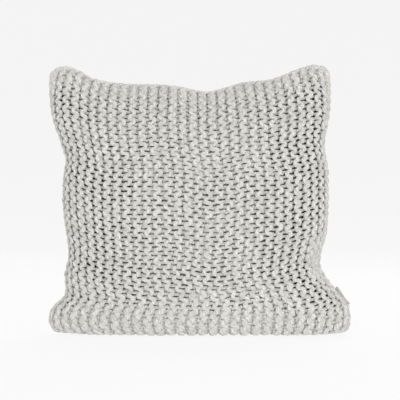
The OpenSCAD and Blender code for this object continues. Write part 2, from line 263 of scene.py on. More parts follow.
def yarn_tube(name, path, normal, flat, tall, ply_turn, ply_depth=0.1, sides=12, taper=0):
    """One two-ply yarn along a path, as an object. taper rounds that many steps at each end."""
    path = np.asarray(path, float)[None]
    normal = np.broadcast_to(np.asarray(normal, float), path.shape)
    steps = path.shape[1]
    shrink = np.ones(steps)
    if taper:
        edge = np.minimum(np.arange(steps), np.arange(steps)[::-1]) / taper
        shrink = np.sqrt(1 - (1 - np.clip(edge, 0.02, 1)) ** 2)
    tube = tubes(path, normal, (flat * shrink)[None], (tall * shrink)[None], sides, 2, ply_depth, ply_turn)
    return yarn_mesh(name, tube, np.full(len(tube[0]), LOOP_RISE))


# -------- knit
# Sizes of the fabric and its yarn
RIDGE = 16.3  # a ridge and a valley of the garter stitch, two knitted rows
STITCH = 14.2  # one stitch along the rib
FABRIC_IN = 7.4  # the middle of the fabric lies this far inside its outside
LOOP_HALF = 7.9  # half the distance that a loop spans across the ribs
LOOP_RISE = 3.9  # how far heads and sinkers stand off the middle of the fabric
LOOP_WIDE = 0.14  # how much the loops widen, as a share of a stitch
YARN_FLAT = 3.3  # half width of the pressed yarn
YARN_TALL = 2.9  # half thickness of the pressed yarn
PLIES, PLY_DEPTH, PLY_TURN = 3, 0.07, 26.0
ROWS = 61  # rows of yarn on each face
STEPS = 18  # points for each stitch
SIDES = 12  # sides of the yarn
END_DIVE = 3.2  # the ends of the rows turn in by this much
CROWDING = 0.045  # how much closer the ribs lie towards the side seams
DRIFT = 0.9  # how far stitches wander from an even grid
DRIFT_LENGTHS = (150.0, 95.0, 60.0)
GROOVE_SHADE = 2.0  # the grooves between closed ribs are shaded as if this much deeper

# Where the loops close up into plain ribs: near the crest, above the base and at the right waist
CREST_FROM, CREST_TO = 0.895, 0.945  # shares of the way from the bottom seam to the crest
FOOT_FROM, FOOT_TO = 0.15, 0.28
FOOT_CLOSED, FOOT_RIGHT = 0.8, 0.55  # how closed the foot is, and how much less at the right
RIGHT_FROM, RIGHT_TO = 0.5, 0.75
WAIST_FROM, WAIST_TO = 0.8, 0.9
WAIST_Z, WAIST_REACH = 118.0, 42.0
# Where the fabric is pulled open: towards the side seams, and a little towards the crest
EDGE_FROM, EDGE_TO = 0.3, 0.75
EDGE_HIGH_FROM, EDGE_HIGH_TO, EDGE_HIGH = 0.7, 0.9, 0.6

# How the loops change there, as shares of their own size. A pair is for sunken and raised loops
CLOSED_PULL, EDGE_PULL, CROWN_PULL = (0.88, 0.3), (-0.02, 0.08), 0.06
CROWN_RISE, EDGE_RISE, WAIST_RISE = -0.22, 0.3, -0.5
LEG_FLAT, CLOSED_FLAT, WAIST_FLAT, CROWN_FLAT = 0.14, 0.42, 0.25, -0.18
EDGE_FLAT, EDGE_HEAD = (-0.3, 0.16), 0.4
PITCH_LOW, PITCH_HIGH = 0.8, 1.08  # how far the yarn follows the spacing of the ribs
# How much one stitch differs from the next: as shares, but across the ribs in millimetres
VARY_ALONG, VARY_REACH, VARY_RISE, VARY_ACROSS, VARY_FLAT, VARY_TALL = 0.05, 0.045, 0.08, 0.4, 0.07, 0.05


def crowded(q):
    """Where the rib at share q of the width lies, since the ribs crowd together at the sides."""
    away = 2 * q - 1
    return 0.5 + 0.5 * away * (1 + CROWDING - CROWDING * away**6)


def drift(q, p, quiet):
    """Slow wandering of the stitches over a face above quiet, in shares of its width and height."""
    draw = np.random.default_rng(77)
    total = np.zeros((2,) + np.shape(p))
    for length in DRIFT_LENGTHS:
        for axis_i in range(2):
            turn, phase = draw.uniform(0, 2 * math.pi, 2)
            way = 2 * math.pi / length * (math.cos(turn) * q * WIDTH + math.sin(turn) * p * HEIGHT)
            total[axis_i] += length / DRIFT_LENGTHS[0] * np.sin(way + phase)
    hold = np.sqrt(np.sin(math.pi * np.clip(q, 0, 1)) * np.sin(math.pi * np.clip(p, 0, 1)))
    hold = hold * smoothstep(p, quiet, quiet + 0.15)
    return total[0] * hold * DRIFT / WIDTH, total[1] * hold * DRIFT / HEIGHT


def knit_zones(surface, row_q, p):
    """How much the loops are closed, opened by the edge, drawn in at the waist and on the crown."""
    u = 2 * crowded(row_q) - 1
    crest = smoothstep(p, CREST_FROM, CREST_TO)
    foot = (1 - smoothstep(p, FOOT_FROM, FOOT_TO)) * (1 - FOOT_RIGHT * smoothstep(u, RIGHT_FROM, RIGHT_TO))
    level_z = surface.sample(crowded(row_q), p)[0][..., 2]
    waist = smoothstep(u, WAIST_FROM, WAIST_TO) * np.exp(-((level_z - WAIST_Z) / WAIST_REACH) ** 2)
    closed = np.maximum(np.maximum(crest, FOOT_CLOSED * foot), waist)
    beside = smoothstep(np.abs(u), EDGE_FROM, EDGE_TO)
    above = EDGE_HIGH * smoothstep(p, EDGE_HIGH_FROM, EDGE_HIGH_TO)
    edge = np.maximum(beside, above) * (1 - closed)
    crown = np.sin(math.pi * row_q) * np.sin(math.pi * np.clip(p, 0, 1))
    return closed, edge, waist, crown


def knit_rows(surface, k_list, p_from, p_to, stitches, seed, quiet):
    """Centre lines of the yarn rows k_list of one panel, with normals, half widths and the heights
    that they are shaded by."""
    draw = np.random.default_rng(seed)
    k = np.asarray(k_list, float)[:, None]
    t = np.linspace(0, 2 * math.pi * stitches, stitches * STEPS + 1)[None, :]
    at = t[0] / (2 * math.pi)

    def vary(scale):
        """A smooth random value per stitch that is zero at both ends of each row."""
        values = draw.normal(0, scale, (len(k_list), stitches + 1))
        values[:, [0, -1]] = 0
        return np.stack([np.interp(at, np.arange(stitches + 1), row) for row in values])

    sign = np.where(k % 2 == 0, 1.0, -1.0)
    row_q = (k + 0.5) / ROWS + np.zeros_like(t)
    share = (t / (2 * math.pi) + LOOP_WIDE * np.sin(2 * t) + vary(VARY_ALONG)) / stitches
    p = mix(p_from(row_q), p_to(row_q), share)
    closed, edge, waist, crown = knit_zones(surface, row_q, p)
    raised = 0.5 - 0.5 * sign * np.cos(t)
    leg = 0.5 - 0.5 * np.cos(2 * t)

    # across the ribs, and out of the fabric
    pulled = closed * mix(*CLOSED_PULL, raised) + edge * mix(*EDGE_PULL, raised) + CROWN_PULL * crown * raised
    reach = -LOOP_HALF * (1 - pulled) * (1 + vary(VARY_REACH)) * np.cos(t)
    rise = 1 + CROWN_RISE * crown + EDGE_RISE * edge + WAIST_RISE * waist
    rise = LOOP_RISE * rise * (1 + vary(VARY_RISE))
    out = sign * rise * np.sign(reach) * smoothstep(np.abs(reach), 0.6, LOOP_HALF - 1.0)
    out = mix(-END_DIVE, out, smoothstep(np.minimum(at, stitches - at), 0, 0.45))
    q = row_q + (reach + vary(VARY_ACROSS)) / (ROWS * RIDGE / 2)
    drift_q, drift_p = drift(q, p, quiet)
    p = p + drift_p
    at_point, normal = surface.sample(crowded(q) + drift_q, p)
    path = at_point + out[..., None] * normal

    # the pressed yarn
    beside, _ = surface.sample(crowded(q + 0.5 / ROWS) + drift_q, p)
    pitch = np.linalg.norm(beside - at_point, axis=-1) / (RIDGE / 4)
    flat = YARN_FLAT * np.clip(pitch, PITCH_LOW, PITCH_HIGH) * (1 + LEG_FLAT * np.cos(2 * t))
    flat = flat * (1 + CLOSED_FLAT * closed * raised) * (1 + WAIST_FLAT * waist)
    flat = flat * (1 + edge * mix(*EDGE_FLAT, raised) * mix(EDGE_HEAD, 1, leg))
    flat = flat * (1 + CROWN_FLAT * crown * leg) * (1 + vary(VARY_FLAT))
    tall = YARN_TALL * (1 + vary(VARY_TALL)) + np.zeros_like(flat)
    # the last value drives painted shade: the yarn's height, lowered in the grooves between closed ribs
    return path, normal, flat, tall, out - GROOVE_SHADE * closed * (1 - raised) ** 2


def knit_piece(name, surface, k_list, p_from, p_to, stitches, seed, quiet=-0.2):
    path, normal, flat, tall, shade = knit_rows(surface, k_list, p_from, p_to, stitches, seed, quiet)
    tube = tubes(path, normal, flat, tall, SIDES, PLIES, PLY_DEPTH, PLY_TURN)
    return yarn_mesh(name, tube, np.repeat(shade.ravel(), SIDES))


def whole(value):
    """An edge of a panel that lies at the same share of the way up everywhere."""
    return lambda q: np.full_like(q, value)


def stands_for(obj, body, slot, *nodes):
    """Puts a new piece on its body in place of CAD nodes; slot is not used."""
    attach(obj, body)
    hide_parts(*nodes)
    return obj


def as_yarn(obj, *nodes):
    yarn_pieces.append(stands_for(obj, "cushion", "yarn", *nodes))


yarn_pieces = []
KNIT_GRID = (241, 261)
FRONT_BLOCKS, BACK_BLOCKS = 5, 3  # pieces that the rows of a panel are shared between
FRONT_SEED, SIDE_SEED, UPPER_SEED, LOWER_SEED = 20, 30, 40, 50
front = Surface(form_grid(-1, FABRIC_IN, *KNIT_GRID), -1)
back = Surface(form_grid(1, FABRIC_IN, *KNIT_GRID), 1)
middle_row = front.grid[KNIT_GRID[0] // 2]
STITCHES = int(round(np.linalg.norm(np.diff(middle_row, axis=0), axis=-1).sum() / STITCH))
for number, block in enumerate(np.array_split(np.arange(ROWS), FRONT_BLOCKS), 1):
    as_yarn(knit_piece(f"knit_front_{number}", front, block, whole(0.0), whole(1.0), STITCHES,
                       FRONT_SEED + number), "knit_front")

# -------- zip opening in the back
zip_joint = next(j for j in frame["record"]["behaviour"]["joints"] if j["name"] == "zip_run")
TAPE_T = 1.0  # thickness of the tapes in the CAD model
ZIP_AXIS_Y, ZIP_Z = (value / MM for value in zip_joint["pos_m"][1:])
ZIP_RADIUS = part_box("zip_tape_upper")[1][1] / MM - TAPE_T / 2 - ZIP_AXIS_Y
SLOT_HALF = 8.2  # half height of the opening
SLOT_REACH, SLOT_TAPER = 0.81, 0.05  # where it ends, and over how much it tapers, in half widths
UNMOVED_LOW = 0.34  # stitches wander only above this share of the back
EDGE_STEPS, END_STEPS, END_BULGE = 161, 7, 0.004


def level(surface, q, z):
    """The p at which a surface passes height z, for each q; q and z may be arrays."""
    at_rows = np.clip(np.asarray(q, float), 0, 1) * (surface.grid.shape[0] - 1)
    z = np.broadcast_to(z, at_rows.shape)
    spots = np.linspace(0, 1, surface.grid.shape[1])
    out = np.empty(at_rows.shape)
    for i, (row, height) in enumerate(zip(at_rows, z)):
        j = min(int(row), surface.grid.shape[0] - 2)
        column = mix(surface.grid[j, :, 2], surface.grid[j + 1, :, 2], row - j)
        out[i] = np.interp(height, np.maximum.accumulate(column), spots)
    return out


def slot_edge(q, sign, inwards=0.0):
    """The p of an edge of the zip opening, whose height tapers off at both ends."""
    share = np.clip((SLOT_REACH - np.abs(2 * q - 1)) / SLOT_TAPER, 0.05, 1)
    return level(back, q, ZIP_Z + sign * (SLOT_HALF * np.sqrt(share) - inwards))


row_q = crowded((np.arange(ROWS) + 0.5) / ROWS)
open_rows = np.flatnonzero(np.abs(2 * row_q - 1) < SLOT_REACH - 0.01)
row_low = np.interp(np.arange(ROWS), open_rows, slot_edge(row_q[open_rows], -1))
row_high = np.interp(np.arange(ROWS), open_rows, slot_edge(row_q[open_rows], 1))


def from_rows(values):
    """An edge of a panel that is given for each row of yarn."""
    return lambda q: np.interp(q * ROWS - 0.5, np.arange(ROWS), values)


low_stitches = int(round(STITCHES * row_low[ROWS // 2]))
high_stitches = int(round(STITCHES * (1 - row_high[ROWS // 2])))
left_rows = np.arange(0, open_rows[0])
right_rows = np.arange(open_rows[-1] + 1, ROWS)
for name, block in [("left", left_rows), ("right", right_rows)]:
    as_yarn(knit_piece(f"knit_back_{name}", back, block, whole(0.0), whole(1.0), STITCHES,
                       SIDE_SEED + len(name), UNMOVED_LOW), "knit_back_upper", "knit_back_lower")
for number, block in enumerate(np.array_split(open_rows, BACK_BLOCKS), 1):
    as_yarn(knit_piece(f"knit_back_upper_{number}", back, block, from_rows(row_high), whole(1.0),
                       high_stitches, UPPER_SEED + number, UNMOVED_LOW), "knit_back_upper")
as_yarn(knit_piece("knit_back_lower_1", back, open_rows, whole(0.0), from_rows(row_low),
                   low_stitches, LOWER_SEED, 1.2), "knit_back_lower")

# A crocheted edge runs round the opening: along its top, round an end, back along its bottom
edge_q = crowded(mix(open_rows[0] / ROWS, (open_rows[-1] + 1) / ROWS, np.linspace(0, 1, EDGE_STEPS)))
top_p, low_p = slot_edge(edge_q, 1, 1.5), slot_edge(edge_q, -1, 1.5)
end_turn = np.linspace(0, 1, END_STEPS + 2)[1:-1]
end_out = END_BULGE * np.sin(math.pi * end_turn)
loop_q = np.concatenate([edge_q, edge_q[-1] + end_out, edge_q[::-1], edge_q[0] - end_out])
loop_p = np.concatenate([top_p, mix(top_p[-1], low_p[-1], end_turn), low_p[::-1],
                         mix(low_p[0], top_p[0], end_turn)])
loop_q, loop_p = np.append(loop_q, loop_q[:2]), np.append(loop_p, loop_p[:2])
edge_at, edge_normal = back.sample(loop_q, loop_p)
as_yarn(yarn_tube("zip_opening_edge", edge_at + 0.6 * edge_normal, edge_normal, 3.0, 4.2, 15.0,
                  ply_depth=0.14), "knit_back_upper", "knit_back_lower")


# -------- seams of the cover
def soft_line(u, height, inset, count, rounds):
    """An evenly stepped line along the outline, with its corners rounded."""
    line = even_rows(outline(u, height, inset)[None], 1, count)[0]
    for _ in range(rounds):
        line[1:-1] = (line[:-2] + 2 * line[1:-1] + line[2:]) / 4
    return line


# Each side seam also takes in the corner beside it, at the bottom and at the top
for name, side in [("left", -1), ("right", 1)]:
    u = np.concatenate([np.linspace(0.82, 0.995, 12), np.full(120, 1.0), np.linspace(0.995, 0.84, 14)]) * side
    height = np.concatenate([np.zeros(12), np.linspace(0.003, 0.997, 120), np.ones(14)])
    line = soft_line(u, height, 5.8, 270, 4)
    as_yarn(yarn_tube(f"side_seam_{name}_roll", line, (0, -1.0, 0), 5.6, 6.4, 28.0, ply_depth=0.09,
                      sides=16, taper=8), f"side_seam_{name}")

top_line = soft_line(np.linspace(-0.93, 0.93, 200), np.ones(200), 5.0, 240, 2)
as_yarn(yarn_tube("top_seam_roll", top_line, (0, -1.0, 0), 4.8, 5.2, 28.0, ply_depth=0.08,
                  sides=16, taper=8), "top_seam")


# A sewing yarn along the bottom edge, which dips into each valley between the ribs
seam_q = np.linspace(0.02, 0.98, 260)
bottom_line, bottom_normal = front.sample(crowded(seam_q), np.zeros_like(seam_q))
bottom_line = bottom_line + bottom_normal * (2.5 + np.cos(math.pi * seam_q * ROWS))[:, None]
bottom_line[:, 1] = 1.2 * np.sin(math.pi * seam_q * ROWS)
as_yarn(yarn_tube("bottom_seam_yarn", bottom_line, (0, 0, 1.0), 2.6, 2.6, 12.0, taper=3), "bottom_seam")


# -------- lining
def grid_faces(n, m, flip=False):
    a = (np.arange(n - 1)[:, None] * m + np.arange(m - 1)).ravel()
    quads = np.stack([a, a + m, a + m + 1, a + 1], -1)
    return quads[:, ::-1] if flip else quads


def ripples(points, size, height, seed):
    """Soft uneven heights in -height..height over points, the same on every run."""
    draw = np.random.default_rng(seed)
    total = np.zeros(points.shape[:-1])
    for octave in range(4):
        for _ in range(3):
            way = draw.normal(0, 1, 3)
            way *= 2 * math.pi / (size * 0.6**octave) / np.linalg.norm(way)
            total += 0.55**octave * np.sin(points @ way + draw.uniform(0, 6.28))
    return height * total / 3.2


def cloth_grid(surface, p_from, p_to, across, along, seed):
    """Points of a thin cloth on a surface, with soft waves that die out at its edges."""
    q = np.linspace(0, 1, across)
    share = np.linspace(0, 1, along)
    qq = np.repeat(q[:, None], along, 1)
    pp = mix(p_from(q)[:, None], p_to(q)[:, None], share[None, :])
    at_point, normal = surface.sample(qq, pp)
    edge = np.minimum(np.minimum(qq, 1 - qq), np.minimum(share, 1 - share)[None, :])
    wave = ripples(at_point, 70, 0.7, seed) * smoothstep(edge, 0, 0.08)
    return at_point - wave[..., None] * normal


LINING_IN = 17.1  # the lining lies this far inside the outside of the knit
LINING_FORM = (121, 141)
LINING_ACROSS = 101
LINING_SLOT, LINING_REACH, LINING_TAPER = 13.0, 0.9, 0.06
lining_front_form = Surface(form_grid(-1, LINING_IN, *LINING_FORM), -1)
lining_back_form = Surface(form_grid(1, LINING_IN, *LINING_FORM), 1)


def lining_level(sign):
    """The edge of the back lining above (1) or below (-1) the zip."""
    def at(q):
        share = np.clip((LINING_REACH - np.abs(2 * q - 1)) / LINING_TAPER, 0, 1)
        return level(lining_back_form, q, ZIP_Z + sign * (LINING_SLOT * np.sqrt(share) + 0.3))
    return at


def as_sheet(obj, node, slot):
    """A sheet of cloth that stands for a CAD node."""
    stands_for(obj, "cushion", slot, node)
    return obj


lining_pieces = []
for node, form, p_from, p_to, along, cut in [
        ("lining_front", lining_front_form, whole(0.0), whole(1.0), 101, (0.475, 0.475)),
        ("lining_back_upper", lining_back_form, lining_level(1), whole(1.0), 81, (0.475, 0.355)),
        ("lining_back_lower", lining_back_form, whole(0.0), lining_level(-1), 31, (0.475, 0.105))]:
    grid = cloth_grid(form, p_from, p_to, LINING_ACROSS, along, len(node))
    faces = grid_faces(LINING_ACROSS, along, form is lining_back_form)
    obj = new_mesh(node + "_cloth", grid.reshape(-1, 3), faces)
    lining_pieces.append(as_sheet(obj, node, "lining"))


# -------- inner pad
CASE_IN, CASE_GRID = 24.0, (57, 71)
FILLING_IN, FILLING_GRID = 30.0, (49, 61)
LUMP, LUMP_HEIGHT = 38, 2.6  # size and height of the lumps in the filling
CLOSE = 0.4  # points nearer than this are joined
CLOTH_FRAMES = 20


def closed_form(name, inset, across, along):
    """A closed cushion form that lies inset below the outside of the knit, as an object."""
    sheets = [form_grid(side, inset, across, along) for side in (-1, 1)]
    points = np.concatenate([sheet.reshape(-1, 3) for sheet in sheets])
    size = across * along
    faces = [tuple(f) for f in grid_faces(across, along)]
    faces += [tuple(size + f) for f in grid_faces(across, along, True)]
    for column, flip in ((0, False), (across - 1, True)):
        for j in range(along - 1):
            a = column * along + j
            face = (a, a + 1, size + a + 1, size + a)
            faces.append(face[::-1] if flip else face)
    bm = bmesh.new()
    verts = [bm.verts.new(p * MM) for p in points]
    for face in faces:
        bm.faces.new([verts[int(i)] for i in face])
    bmesh.ops.remove_doubles(bm, verts=bm.verts, dist=CLOSE * MM)
    bmesh.ops.recalc_face_normals(bm, faces=bm.faces)
    mesh = bpy.data.meshes.new(name)
    bm.to_mesh(mesh)
    bm.free()
    shade_smooth(mesh)
    return add_object(name, mesh)


def apply_modifiers(obj):
    graph = bpy.context.evaluated_depsgraph_get()
    made = bpy.data.meshes.new_from_object(obj.evaluated_get(graph))
    obj.modifiers.clear()
    old, obj.data = obj.data, made
    bpy.data.meshes.remove(old)


def read_points(mesh):
    flat = np.empty(len(mesh.vertices) * 3, np.float32)
    mesh.vertices.foreach_get("co", flat)
    return flat.reshape(-1, 3).astype(float)


def write_points(mesh, points):
    mesh.vertices.foreach_set("co", points.astype(np.float32).ravel())
    mesh.update()


def inflate(obj, pressure, cap):
    """Blows a closed form up as cloth, and lets no point move further than cap, in metres."""
    before = read_points(obj.data)
    cloth = obj.modifiers.new("cloth", "CLOTH")
    cloth.settings.use_pressure, cloth.settings.uniform_pressure_force = True, pressure
    cloth.settings.effector_weights.gravity = 0
    cloth.settings.tension_stiffness = cloth.settings.compression_stiffness = 12
    cloth.settings.quality = 5
    cloth.point_cache.frame_start, cloth.point_cache.frame_end = 1, CLOTH_FRAMES
    scene = bpy.context.scene
    for number in range(1, CLOTH_FRAMES + 1):
        scene.frame_set(number)
    apply_modifiers(obj)
    scene.frame_set(1)
    move = read_points(obj.data) - before
    far = np.linalg.norm(move, axis=-1, keepdims=True)
    write_points(obj.data, before + move * np.minimum(1, cap / np.maximum(far, 1e-9)))
    sub = obj.modifiers.new("smooth", "SUBSURF")
    sub.levels = sub.render_levels = 1
    apply_modifiers(obj)
    shade_smooth(obj.data)
    obj.data.update()


pad_case = closed_form("pad_case", CASE_IN, *CASE_GRID)
inflate(pad_case, 4.0, 0.003)
stands_for(pad_case, "cushion", "pad_casing", "pad_case_front", "pad_case_back")

filling = closed_form("pad_filling_wad", FILLING_IN, *FILLING_GRID)
at = read_points(filling.data) / MM
lumps = unit(at - at.mean(0)) * ripples(at, LUMP, LUMP_HEIGHT, 5)[:, None]
write_points(filling.data, (at + lumps) * MM)
inflate(filling, 2.0, 0.001)
stands_for(filling, "cushion", "filling", "pad_filling")


def rim_line(inset, count):
    """Points once round the outline of a layer, on the middle plane."""
    rise = np.linspace(0.02, 0.98, 160)
    run = np.linspace(-0.985, 0.985, 200)
    parts = [outline(u, height, inset) for u, height in (
        (np.full(160, -1.0), rise), (run, np.ones(200)), (np.full(160, 1.0), rise[::-1]),
        (run[::-1], np.zeros(200)))]
    line = np.concatenate(parts + [parts[0][:1]])
    return even_rows(line[None], 1, count)[0]


piping = yarn_tube("pad_case_piping", rim_line(21.4, 520), (0, -1.0, 0), 1.5, 1.5, 9.0,
                   ply_depth=0.08, sides=8)
stands_for(piping, "cushion", "pad_casing", "pad_case_seam")


# -------- zip
TAPE_HALF, TAPE_LOW, TAPE_HIGH, TAPE_STEPS = 171.0, 0.5, 10.8, 241
TAPE_CORD = 0.75  # radius of the cord in the tape's edge, by the teeth
TAPE_STRIP = [(2.4, 0.34), (5.0, 0.3), (8.6, 0.3), (9.8, 0.42), (10.5, 0.38)]  # height, half thickness
PITCH = 4.0  # from one tooth of a row to the next
TOOTH_REACH = 148.0
TOOTH_CORNER = 0.35
TOOTH_PROFILE = [  # height above the middle, half length along the zip, half thickness
    (-0.95, 0.5, 0.95), (-0.7, 0.78, 1.2), (-0.1, 0.86, 1.3), (0.7, 0.62, 1.22), (1.5, 0.7, 1.3),
    (2.3, 0.95, 1.3), (3.3, 1.05, 1.3), (3.75, 0.85, 1.05)]


def zip_at(along, out, z):
    """Points at an arc length along the zip, a distance outwards from it and a height."""
    turn = np.asarray(along, float) / ZIP_RADIUS
    radius = ZIP_RADIUS + np.asarray(out, float)
    x, y, z = np.broadcast_arrays(radius * np.sin(turn), ZIP_AXIS_Y + radius * np.cos(turn), ZIP_Z + z)
    return np.stack([x, y, z], -1)


def make_tape(sign, name):
    """A woven tape above (1) or below (-1) the teeth, with a corded edge and a selvedge."""
    turn = np.linspace(-0.72 * math.pi, 0.72 * math.pi, 11)
    cord = [(TAPE_LOW + TAPE_CORD - TAPE_CORD * math.cos(a), TAPE_CORD * math.sin(a)) for a in turn]
    back_strip = [(high, -half) for high, half in TAPE_STRIP[::-1]]
    ring = np.array(cord + TAPE_STRIP + [(TAPE_HIGH, 0.0)] + back_strip)
    along = np.linspace(-TAPE_HALF, TAPE_HALF, TAPE_STEPS)
    wave = 0.12 * np.sin(along / 9.0 + sign) + 0.1 * np.sin(along / 23.0)
    points = zip_at(along[:, None], ring[None, :, 1] + wave[:, None] * ring[None, :, 0] / TAPE_HIGH,
                    sign * ring[None, :, 0])
    count = len(ring)
    step = (np.arange(TAPE_STEPS - 1) * count)[:, None]
    a = step + np.arange(count)
    b = step + (np.arange(count) + 1) % count
    quads = np.stack([a, b, b + count, a + count], -1).reshape(-1, 4)
    tape = new_mesh(f"zip_tape_{name}_weave", points.reshape(-1, 3), quads[:, ::sign])
    return as_sheet(tape, f"zip_tape_{name}", "zip_tape")


def cut_oblong(a, b, c):
    """An oblong of half sides a and b whose corners are cut by c."""
    return [(a, b - c), (a - c, b), (c - a, b), (-a, b - c),
            (-a, c - b), (c - a, -b), (a - c, -b), (a, c - b)]


def make_teeth(sign, name):
    """A row of teeth: eight-sided rings up each tooth, closed at both ends."""
    points, faces = [], []
    for spot in np.arange(-TOOTH_REACH + 2, TOOTH_REACH - 1, PITCH) + sign * PITCH / 4:
        base = len(points)
        for high, half_run, half_out in TOOTH_PROFILE:
            for run, out in cut_oblong(half_run, half_out, TOOTH_CORNER):
                points.append(zip_at(spot + run, out, sign * high))
        top = len(points) - 8
        for ring in range(base, top, 8):
            for side in range(8):
                after = (side + 1) % 8
                faces.append((ring + side, ring + side + 8, ring + after + 8, ring + after))
        for j in range(3):
            faces.append((base + j, base + j + 1, base + 6 - j, base + 7 - j))
            faces.append((top + 7 - j, top + 6 - j, top + j + 1, top + j))
    teeth = new_mesh(f"zip_teeth_{name}_metal", np.array(points), np.array(faces)[:, ::-sign])
    return stands_for(teeth, "cushion", "zip_metal", f"zip_teeth_{name}")


HALVES = ((1, "upper"), (-1, "lower"))
tape_pieces = [make_tape(sign, name) for sign, name in HALVES]
tooth_pieces = [make_teeth(sign, name) for sign, name in HALVES]


def softened(node, name, body, width):
    """A copy of a CAD node with its sharp edges rounded over a width, which stands for that node."""
    obj = add_object(name, frame["nodes"][node].data.copy())
    bm = bmesh.new()
    bm.from_mesh(obj.data)
    bmesh.ops.remove_doubles(bm, verts=bm.verts, dist=0.01 * MM)
    bmesh.ops.dissolve_limit(bm, angle_limit=math.radians(2), verts=bm.verts, edges=bm.edges)
    bm.to_mesh(obj.data)
    bm.free()
    bevel = obj.modifiers.new("round", "BEVEL")
    bevel.width, bevel.segments, bevel.limit_method = width * MM, 2, "ANGLE"
    bevel.angle_limit = math.radians(40)
    apply_modifiers(obj)
    obj.data.materials.clear()
    shade_smooth(obj.data)
    obj.data.set_sharp_from_angle(angle=math.radians(35))
    return stands_for(obj, body, "zip_metal", node)


metal_pieces = tooth_pieces + [
    softened("zip_slider", "zip_slider_body", "slider", 0.22),
    softened("zip_puller", "zip_puller_tab", "puller", 0.25),
    softened("zip_top_stop", "zip_top_stop_staple", "cushion", 0.18),
    softened("zip_bottom_stop", "zip_bottom_stop_staple", "cushion", 0.18)]


# -------- stitching
def stitches(name, starts, ends, normals, lift, radius, node, sag=0.25):
    """A row of sewn stitches, each a short thread that dips into the cloth at both ends."""
    share = np.linspace(0, 1, 7)
    arch = np.sin(math.pi * share)
    path = mix(starts[:, None, :], ends[:, None, :], share[None, :, None])
    path = path + normals[:, None, :] * (lift * arch - sag)[None, :, None]
    size = radius * (0.55 + 0.45 * arch)[None, :] * np.ones((len(starts), 1))
    across = np.broadcast_to(normals[:, None, :], path.shape)
    points, quads, _, _ = tubes(path, across, size, size, 8, 2, 0.12, 4.4)
    return stands_for(new_mesh(name, points, quads), "cushion", "thread", node)


TAPE_STITCH, TAPE_STITCH_PITCH, TAPE_STITCH_REACH, TAPE_STITCH_Z = 4.6, 7.0, 143, 6.4
thread_pieces = []
for sign, name in HALVES:
    spots = np.arange(-TAPE_STITCH_REACH, TAPE_STITCH_REACH + 1, TAPE_STITCH_PITCH)
    first, last, middle, outside = [zip_at(spots + shift, out, sign * TAPE_STITCH_Z) for shift, out in (
        (-TAPE_STITCH / 2, 1.0), (TAPE_STITCH / 2, 1.0), (0, 1.0), (0, 2.0))]
    thread_pieces.append(stitches(f"zip_stitching_{name}_thread", first, last, outside - middle, 0.3, 0.42,
                                  f"zip_stitching_{name}", 0.35))

# -------- labels
LABEL_Z, LABEL_LONG, LABEL_WIDE, LABEL_LEAN = 59.0, 34.0, 17.0, 74.0
LABEL_LAYER, LABEL_HALF = 0.6, 0.24  # from the middle plane to each layer, and half a layer's thickness
LABEL_STITCHES, LABEL_STITCH = np.linspace(-14.5, 14.5, 6), 3.6
CARE_U, CARE_Z = (0.45, 0.6), (100, 150)
CARE_SKINS = (18.6, 19.0)  # how far its two faces lie inside the outside of the knit
label_slant = math.atan2(curve(RIGHT_EDGE, LABEL_Z - 15) - curve(RIGHT_EDGE, LABEL_Z + 15), 30.0)
lean = math.radians(LABEL_LEAN)
ahead, aside = np.array([math.cos(lean), math.sin(lean)]), np.array([-math.sin(lean), math.cos(lean)])


def label_place(points):
    """From the label's own frame (x outwards, y back, z along it) to the pillow's."""
    x, y, z = np.moveaxis(np.asarray(points, float), -1, 0)
    c, s = math.cos(label_slant), math.sin(label_slant)
    return np.stack([curve(RIGHT_EDGE, LABEL_Z) + x * c - z * s, y, LABEL_Z + x * s + z * c], -1)


def label_section():
    """The middle of the folded ribbon's section: out from the seam, round the fold and back."""
    straight = LABEL_WIDE - 1.5 * LABEL_LAYER
    run = np.linspace(-1.0, straight, 16)
    bend = np.radians(np.linspace(-90, 90, 11)[1:-1])
    line = [ahead * r - aside * LABEL_LAYER for r in run]
    line += [ahead * (straight + LABEL_LAYER * math.cos(b)) + aside * LABEL_LAYER * math.sin(b) for b in bend]
    return np.array(line + [ahead * r + aside * LABEL_LAYER for r in run[::-1]])


def label_skin(section, z, face):
    """One face of the ribbon as a grid along z, which curls towards its ends."""
    way = unit(np.gradient(section, axis=0))
    ring = section + face * LABEL_HALF * np.stack([way[:, 1], -way[:, 0]], -1)
    reach = (ring @ ahead) / LABEL_WIDE
    curl = reach * (0.5 * np.sin(z / 6.5) + 0.9 * (z / LABEL_LONG * 2) ** 2)[:, None]
    sheet = np.empty(curl.shape + (3,))
    sheet[..., :2] = ring - curl[..., None] * aside
    sheet[..., 2] = z[:, None]
    return label_place(sheet)


def double_skin(name, outer, inner, reach):
    """A thin closed solid between two grids of points, with how far from its seam each point is."""
    n, m = outer.shape[:2]
    size = n * m
    faces = [grid_faces(n, m), grid_faces(n, m, True) + size]
    for line, flip in [(np.arange(m), True), ((n - 1) * m + np.arange(m), False),
                       (np.arange(n) * m, False), (np.arange(n) * m + m - 1, True)]:
        rim = np.stack([line[:-1], line[1:], line[1:] + size, line[:-1] + size], -1)
        faces.append(rim[:, ::-1] if flip else rim)
    reach = np.broadcast_to(reach, (2, n, m)).ravel()
    return new_mesh(name, np.concatenate([outer.reshape(-1, 3), inner.reshape(-1, 3)]),
                    np.concatenate(faces), [("label_reach", reach)])


